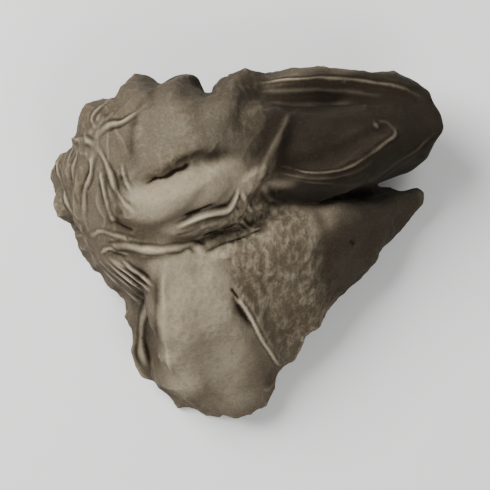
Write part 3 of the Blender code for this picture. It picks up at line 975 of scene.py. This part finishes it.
    def even_out(self) -> None:
        """Rebuild the surface in even cells and smooth the facets away."""
        self.modify("REMESH", mode="VOXEL", voxel_size=self.cell)
        self.modify("SMOOTH", factor=0.5, iterations=self.facets_away)

    def inner_side(self, skin: Skin, sky: np.ndarray) -> np.ndarray:
        """Tell the inner side of the sheet from the outer.

        Args:
            skin: The skin.
            sky: How much sky each point sees.

        Returns:
            0 on the outer side and 1 on the inner side, with a soft change along the rim.
        """
        before, after = self.side_blurs
        spread = skin.blurred((sky < self.least_sky).astype(float), before)
        return skin.blurred((spread > 0.5).astype(float), after)

    def thin_the_rim(self, skin: Skin) -> None:
        """Draw the inner side towards the outer near the rim.

        Args:
            skin: The skin.
        """
        near = 1 - ease(self.from_rim / self.rim_reach)
        move = skin.blurred(near * self.inner, times=8) * self.rim_thinned
        skin.points -= skin.normals() * move[:, None]

    def press_folds(self, skin: Skin, solid: BVHTree) -> Press:
        """Press every fold into the outer side.

        Args:
            skin: The skin.
            solid: The solid's faces, on which the folds lie.

        Returns:
            What the folds did.
        """
        seen = skin.points + self.wobble * soft_push(skin.points / self.wobble_run)
        facing = unit(skin.blurred(skin.normals(), times=20))
        lowest, rise = self.folds_from
        outside = (1 - self.inner) * ease((facing[:, 2] - lowest) / rise)
        first, last = np.array(PLEAT_OUTER), np.array(PLEAT_INNER)
        lines = [tuple(map(tuple, first + (last - first) * k / (PLEATS - 1))) for k in range(PLEATS)]
        press = Press.none(len(seen))
        for fold in FOLDS + tuple(Fold("pleat", PLEAT, line, fade=0.35) for line in lines):
            press.add(fold.press(seen, solid))
        skin.points += (facing * press.lift[:, None] + press.slide) * outside[:, None]
        press.pale *= outside
        press.dark *= outside
        return press

    def wrinkle(self, skin: Skin, crest: np.ndarray) -> None:
        """Add every kind of wrinkle.

        Args:
            skin: The skin.
            crest: How near a crest each point is, where it stays calm.
        """
        facing = unit(skin.blurred(skin.normals(), times=15))
        outward = unit(skin.blurred(skin.normals() * (1 - 2 * self.inner)[:, None], times=30))
        upright = {Side.OUTER: facing, Side.INNER: facing, Side.BOTH: outward}
        everywhere = np.ones(len(crest))
        on_side = {Side.OUTER: 1 - self.inner, Side.INNER: self.inner, Side.BOTH: everywhere}
        highest, fall = self.walls_below
        in_place = {
            Place.ANYWHERE: everywhere,
            Place.WALLS: ease((highest - outward[:, 2]) / fall),
            Place.RIM: 1 - ease(self.from_rim / self.ruffle_reach),
        }
        before = skin.points.copy()
        from_hub = np.hypot(*(before[:, :2] - np.array(HUB)).T)
        away = ease((from_hub - self.hub_calm) / self.hub_calm)
        on_course = {Course.STRAIGHT: everywhere, Course.RADIAL: np.maximum(away, self.inner)}
        for wrinkles in WRINKLES:
            share = on_side[wrinkles.side] * in_place[wrinkles.place] * on_course[wrinkles.course]
            share = share * (1 - self.crest_calm * crest)
            if wrinkles.patch:
                share = share * wrinkles.patch.share(before)
            some = np.where(share > LEAST_SHARE)[0]
            height = share[some] * wrinkles.height_at(before[some])
            skin.points[some] += upright[wrinkles.side][some] * height[:, None]

    def thin_out(self) -> None:
        """Take away triangles where the skin is smooth, and shade it round."""
        count = sum(len(p.vertices) - 2 for p in self.piece.data.polygons)
        self.modify("DECIMATE", ratio=min(1.0, self.triangles / count), use_collapse_triangulate=True)
        self.pick(self.piece)
        bpy.ops.object.shade_smooth()


class Bench:
    """A material's nodes, and the one method that adds any of them."""

    def __init__(self, name: str) -> None:
        """Start a material with its usual shader.

        Args:
            name: The material's name.
        """
        self.material = bpy.data.materials.new(name)
        self.material.use_nodes = True
        self.tree = self.material.node_tree
        self.shader = self.tree.nodes["Principled BSDF"]

    def node(self, kind: str, settings: dict[str, object] | None = None, **inputs: object) -> bpy.types.Node:
        """Add a node.

        Args:
            kind: The node's type.
            settings: Values set on the node itself, before its sockets.
            inputs: A value or a link for each socket, by the socket's name with _ for a space.

        Returns:
            The node.
        """
        node = self.tree.nodes.new(kind)
        for key, value in (settings or {}).items():
            setattr(node, key, value)
        for name, value in inputs.items():
            self.feed(self.socket(node, name), value)
        return node

    def socket(self, node: bpy.types.Node, name: str) -> bpy.types.NodeSocket:
        """Find a socket that is in use.

        Args:
            node: The node.
            name: The socket's name with _ for a space, or its number as _0, _1 and so on.

        Returns:
            The socket.
        """
        if name[1:].isdigit():
            return node.inputs[int(name[1:])]
        wanted = name.replace("_", " ")
        return next(socket for socket in node.inputs if socket.name == wanted and socket.enabled)

    def feed(self, socket: bpy.types.NodeSocket, value: object) -> None:
        """Link a value to a socket, or set it there.

        Args:
            socket: The socket.
            value: What it gets.
        """
        if isinstance(value, Value):
            value = value.socket
        if isinstance(value, bpy.types.NodeSocket):
            self.tree.links.new(value, socket)
        else:
            socket.default_value = value

    def mark(self, name: str) -> "Value":
        """Read an attribute of the mesh as a number."""
        settings = {"attribute_name": name, "attribute_type": "GEOMETRY"}
        return Value(self, self.node("ShaderNodeAttribute", settings).outputs["Fac"])

    def grain(
        self, places: bpy.types.NodeSocket, per_mm: float, detail: float = 3.0, rough: float = 0.6
    ) -> "Value":
        """Read a fractal noise, about 0.5 on average.

        Args:
            places: Coordinates in millimetres.
            per_mm: How many bumps there are to a millimetre.
            detail: How many finer noises are added.
            rough: How strong the finer ones are.

        Returns:
            The noise.
        """
        inputs = {"Vector": places, "Scale": per_mm, "Detail": detail, "Roughness": rough}
        node = self.node("ShaderNodeTexNoise", {"noise_dimensions": "3D"}, **inputs)
        return Value(self, node.outputs["Fac"])

    def mix(self, factor: "Value", first: object, second: object) -> bpy.types.NodeSocket:
        """Mix two colours."""
        settings = {"data_type": "RGBA", "clamp_factor": True}
        return self.node("ShaderNodeMix", settings, Factor=factor, A=first, B=second).outputs[2]


class Value:
    """A number that varies over the surface, with arithmetic that adds Math nodes."""

    def __init__(self, bench: Bench, socket: bpy.types.NodeSocket) -> None:
        """Wrap a socket.

        Args:
            bench: The material's nodes.
            socket: Where the number comes from.
        """
        self.bench = bench
        self.socket = socket

    def reckon(self, operation: str, first: object, second: object, clamp: bool = False) -> "Value":
        """Add a Math node that works on two numbers."""
        settings = {"operation": operation, "use_clamp": clamp}
        return Value(self.bench, self.bench.node("ShaderNodeMath", settings, _0=first, _1=second).outputs[0])

    def __add__(self, other: object) -> "Value":
        """Add."""
        return self.reckon("ADD", self, other)

    __radd__ = __add__

    def __mul__(self, other: object) -> "Value":
        """Multiply."""
        return self.reckon("MULTIPLY", self, other)

    __rmul__ = __mul__

    def __sub__(self, other: object) -> "Value":
        """Take the other from this."""
        return self.reckon("SUBTRACT", self, other)

    def __rsub__(self, other: object) -> "Value":
        """Take this from the other."""
        return self.reckon("SUBTRACT", other, self)

    def above(self, low: float, high: float) -> "Value":
        """Rise from 0 at low to 1 at high."""
        return self.reckon("DIVIDE", self - low, high - low, clamp=True)


@dataclass(frozen=True)
class DriedFlesh:
    """Dried flesh: taupe felt outside with pale crests and painted shade, and smooth dark brown inside.

    Args:
        felt: The felt's usual colour.
        felt_warm: Its colour where it is browner.
        felt_pale: Its pale colour: painted light on lit parts, crests that are partly a painted highlight,
            and pale specks.
        crease: The painted shade in grooves, creases and hollows, also the colour of its dark fibres.
        wall: The painted shade down steep walls, also the colour of the darker specks of its grain.
        mottle: Its colour on the apron's mottled face.
        dusk: The ear's darker brown, also used as painted shade in hollows and towards the right and top.
        inside: The inner side's colour.
        inside_pale: The inner side's colour on its veins.
        streaks: How much finer the mottling is along each axis.
        clouds: How many of the broadest patches of colour there are to a millimetre.
        blotches: The same for blotches.
        speckles: The same for the mottling.
        nap: The same for the felt's grain.
        fibres: The same for its fibres.
        felt_roughness: How matt the felt is.
        inside_roughness: How matt the inner side is.
        bump_depth: How high the felt's grain would be at its strongest.
        gloss: The values that are the same all over, by the name of their sockets.
    """

    felt: Colour = (0.112, 0.094, 0.066, 1.0)
    felt_warm: Colour = (0.088, 0.067, 0.042, 1.0)
    felt_pale: Colour = (0.400, 0.340, 0.240, 1.0)
    crease: Colour = (0.012, 0.007, 0.003, 1.0)
    wall: Colour = (0.052, 0.036, 0.021, 1.0)
    mottle: Colour = (0.051, 0.037, 0.020, 1.0)
    dusk: Colour = (0.010, 0.0072, 0.0042, 1.0)
    inside: Colour = (0.020, 0.012, 0.008, 1.0)
    inside_pale: Colour = (0.055, 0.035, 0.023, 1.0)
    streaks: tuple[float, float, float] = (1.0, 0.5, 0.7)
    clouds: float = 0.45
    blotches: float = 1.6
    speckles: float = 2.8
    nap: float = 7.0
    fibres: float = 22.0
    felt_roughness: float = 0.92
    inside_roughness: float = 0.5
    bump_depth: float = 1.0
    gloss: tuple[tuple[str, object], ...] = (
        ("Sheen Weight", 0.02),
        ("Sheen Roughness", 0.6),
        ("Sheen Tint", (0.9, 0.84, 0.74, 1.0)),
        ("Specular IOR Level", 0.12),
    )

    def make(self) -> bpy.types.Material:
        """Make the material.

        Returns:
            The material.
        """
        bench = Bench("dried_flesh")
        inner, pale, dark, edge = (bench.mark(name) for name in ("inner", "pale", "dark", "edge"))
        names = ("relief", "hollow", "shelter", "steep")
        relief, hollow, shelter, steep = (bench.mark(name) for name in names)
        mottled, brown_and_shade, painted_light = (bench.mark(tint.value) for tint in Tint)
        coordinates = bench.node("ShaderNodeTexCoord").outputs["Object"]
        scaled = bench.node("ShaderNodeVectorMath", {"operation": "SCALE"}, Vector=coordinates, Scale=1 / MM)
        places = scaled.outputs[0]
        streaked = bench.node("ShaderNodeVectorMath", {"operation": "MULTIPLY"}, _0=places, _1=self.streaks)
        clouds = bench.grain(places, self.clouds, detail=4.0)
        blotches = bench.grain(places, self.blotches, detail=4.0)
        speckles = bench.grain(streaked.outputs[0], self.speckles)
        nap = bench.grain(places, self.nap, detail=5.0, rough=0.7)
        fibres = bench.grain(places, self.fibres, rough=0.7)
        # Crests take a painted highlight; grooves, broad hollows and sheltered places take painted shade,
        # less so where painted light is.
        crest = relief.above(0.1, 0.9)
        groove = (0.0 - relief).above(0.1, 1.0)
        sunken = (0.0 - hollow).above(0.05, 0.9)
        deep = shelter.above(0.55, 0.95)
        hollow_shade = (sunken * 0.2 + deep * 0.2) * (1 - painted_light)

        layers = (
            # The felt is browner in clouds, paler with painted light on lit parts and darker with painted
            # shade down the walls.
            (clouds.above(0.38, 0.68), self.felt_warm),
            (painted_light * (0.4 + 0.6 * blotches), self.felt_pale),
            (steep * (0.45 + 0.7 * blotches), self.wall),
            # The mottled parts, and the browner ear with painted shade in hollows and towards the right and
            # top.
            (mottled * (0.2 + 0.6 * speckles.above(0.4, 0.62)), self.mottle),
            (mottled * speckles.above(0.52, 0.3) * 0.32, self.felt_pale),
            (brown_and_shade * (0.9 + 0.2 * clouds), self.dusk),
            # Pale crests, partly painted highlight, pale edges, the felt's grain, and painted shade in
            # grooves and hollows.
            (crest * (0.4 - 0.35 * brown_and_shade) * (1 - 0.4 * steep), self.felt_pale),
            ((pale * 0.9 + edge * 0.3) * (1 - 0.7 * brown_and_shade), self.felt_pale),
            (nap.above(0.5, 0.8) * 0.22 * (1 - 0.8 * brown_and_shade), self.felt_pale),
            (nap.above(0.5, 0.25) * 0.3, self.wall),
            (fibres.above(0.52, 0.85) * 0.25, self.crease),
            (dark * 0.85 + groove * 0.35 + hollow_shade, self.crease),
        )
        colour = self.felt
        for share, over in layers:
            colour = bench.mix(share, colour, over)

        inside = bench.mix(crest * 0.5 + clouds.above(0.4, 0.7) * 0.35, self.inside, self.inside_pale)
        bench.feed(bench.shader.inputs["Base Color"], bench.mix(inner, colour, inside))
        smoother = inner * (self.felt_roughness - self.inside_roughness)
        bench.feed(bench.shader.inputs["Roughness"], self.felt_roughness - smoother + nap * 0.08 - 0.04)
        height = (nap * 0.04 + fibres * 0.02) * (1 - inner * 0.8) + blotches * 0.04
        bump = bench.node("ShaderNodeBump", Strength=0.8, Distance=self.bump_depth * MM, Height=height)
        bench.feed(bench.shader.inputs["Normal"], bump.outputs["Normal"])
        for name, value in self.gloss:
            bench.shader.inputs[name].default_value = value
        return bench.material


@dataclass(frozen=True)
class Studio:
    """A plain pale floor and soft light from the upper left, with a weak one opposite.

    Args:
        floor_size: The floor's side.
        floor_colour: The floor's colour.
        floor_roughness: How matt the floor is.
        key_at: Where the main light is.
        key_watts: The main light's power.
        fill_at: Where the weak light is.
        fill_watts: The weak light's power.
        light_size: The side of each light.
        sky_colour: The colour of the light from all round.
        sky_strength: How strong that is.
    """

    floor_size: float = 900.0
    floor_colour: Colour = (0.74, 0.735, 0.725, 1.0)
    floor_roughness: float = 0.9
    key_at: tuple[float, float, float] = (-88.0, 62.0, 112.0)
    key_watts: float = 0.50
    fill_at: tuple[float, float, float] = (40.0, -90.0, 110.0)
    fill_watts: float = 0.12
    light_size: float = 90.0
    sky_colour: Colour = (0.97, 0.98, 1.0, 1.0)
    sky_strength: float = 0.34

    def build(self) -> None:
        """Lay the floor and set the lights."""
        bpy.ops.object.select_all(action="DESELECT")
        bpy.ops.mesh.primitive_plane_add(size=self.floor_size * MM)
        floor = bpy.context.object
        floor.name = "floor"
        bench = Bench("pale_floor")
        bench.shader.inputs["Base Color"].default_value = self.floor_colour
        bench.shader.inputs["Roughness"].default_value = self.floor_roughness
        floor.data.materials.append(bench.material)
        self.area_light("key", self.key_at, self.key_watts)
        self.area_light("fill", self.fill_at, self.fill_watts)
        world = bpy.data.worlds.new("soft_sky")
        world.use_nodes = True
        sky = world.node_tree.nodes["Background"]
        sky.inputs["Color"].default_value = self.sky_colour
        sky.inputs["Strength"].default_value = self.sky_strength
        bpy.context.scene.world = world

    def area_light(self, name: str, at: tuple[float, float, float], watts: float) -> None:
        """Set a square light that faces the mushroom.

        Args:
            name: The light's name.
            at: Where it is.
            watts: Its power.
        """
        light = bpy.data.lights.new(name, "AREA")
        light.size = self.light_size * MM
        light.energy = watts
        holder = bpy.data.objects.new(name, light)
        holder.location = Vector(at) * MM
        holder.rotation_euler = (-Vector(at)).to_track_quat("-Z", "Y").to_euler()
        bpy.context.scene.collection.objects.link(holder)


@dataclass(frozen=True)
class PhotoCamera:
    """A camera that looks straight at the felted side, as the photograph does.

    Args:
        lens: The focal length.
        margin: The width of the view, as a multiple of the mushroom's longest side.
    """

    lens: float = 100.0
    margin: float = 1.16

    def build(self) -> None:
        """Add the camera and look through it."""
        low, high = solid_bounds
        data = bpy.data.cameras.new("photo_camera")
        data.lens = self.lens
        data.clip_start = 1 * MM
        wide = max(high.x - low.x, high.y - low.y) * self.margin
        back = wide * self.lens / data.sensor_width + high.z
        camera = bpy.data.objects.new("photo_camera", data)
        middle = (low + high) / 2
        camera.location = (middle.x, middle.y, back)
        bpy.context.scene.collection.objects.link(camera)
        bpy.context.scene.camera = camera


def main() -> None:
    """Build the mushroom, its finish and the studio round it."""
    logging.basicConfig(level=logging.INFO, format="%(name)s: %(message)s")
    ear = WoodEar()
    piece = ear.build()
    piece.data.materials.append(DriedFlesh().make())
    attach(piece, "root")
    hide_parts(ear.node)
    log.info("%s: %d triangles", piece.name, len(piece.data.polygons))
    Studio().build()
    PhotoCamera().build()


if __name__ == "__main__":
    main()
